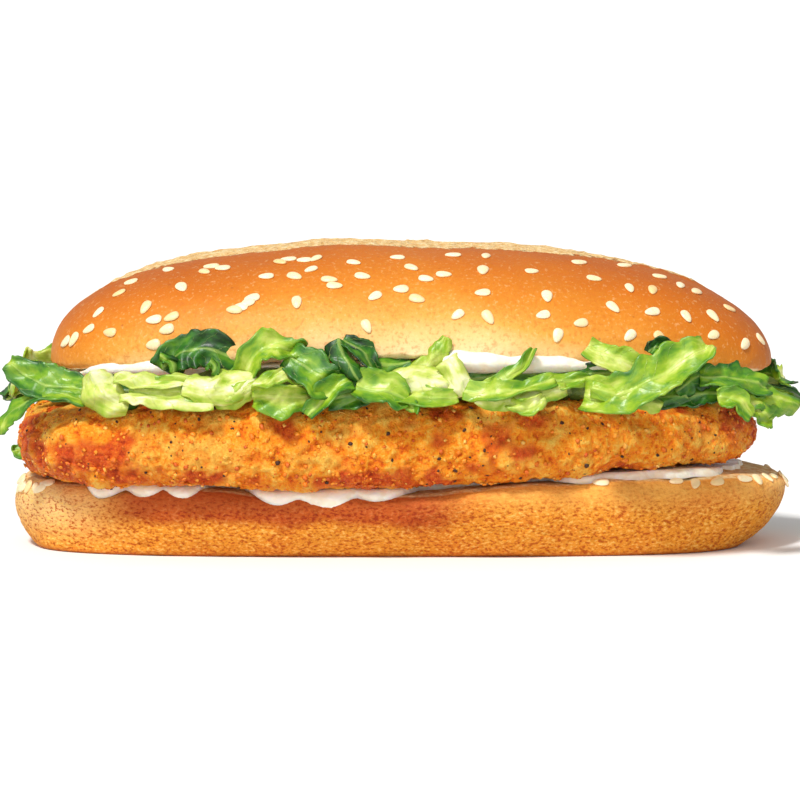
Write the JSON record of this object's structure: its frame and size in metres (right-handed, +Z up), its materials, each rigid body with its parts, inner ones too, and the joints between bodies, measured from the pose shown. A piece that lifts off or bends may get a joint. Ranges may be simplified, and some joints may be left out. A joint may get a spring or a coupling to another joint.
{
  "type": "chicken burger",
  "caption": "Long sesame roll split into heel and crown, holding a breaded chicken fillet, shredded lettuce and mayonnaise; rests on its flat heel.",
  "frame": {"origin": "on the table, under the middle of the bounding box", "axes": "+X along the roll, -Y towards the open front, +Z up"},
  "size_m": [0.1822, 0.0862, 0.0688],
  "materials": {
    "heel_crust": "baked golden-brown bread crust, matte, finely pitted",
    "crown_crust": "baked golden-brown bread crust, satin, paler towards the cut edge, with sesame seeds",
    "breading": "fried crumb coating, orange-gold with browned patches and pepper",
    "lettuce_leaf": "fresh shredded lettuce, soft gloss, pale ribs and green edges",
    "mayonnaise": "creamy white sauce, soft gloss",
    "sesame_seed": "hulled sesame seed, cream, satin"
  },
  "bodies": {
    "root": {"bun_heel": "heel_crust", "mayo_lower": "mayonnaise", "chicken_fillet": "breading", "lettuce": "lettuce_leaf", "mayo_upper": "mayonnaise", "bun_crown": "crown_crust"}
  },
  "joints": []
}
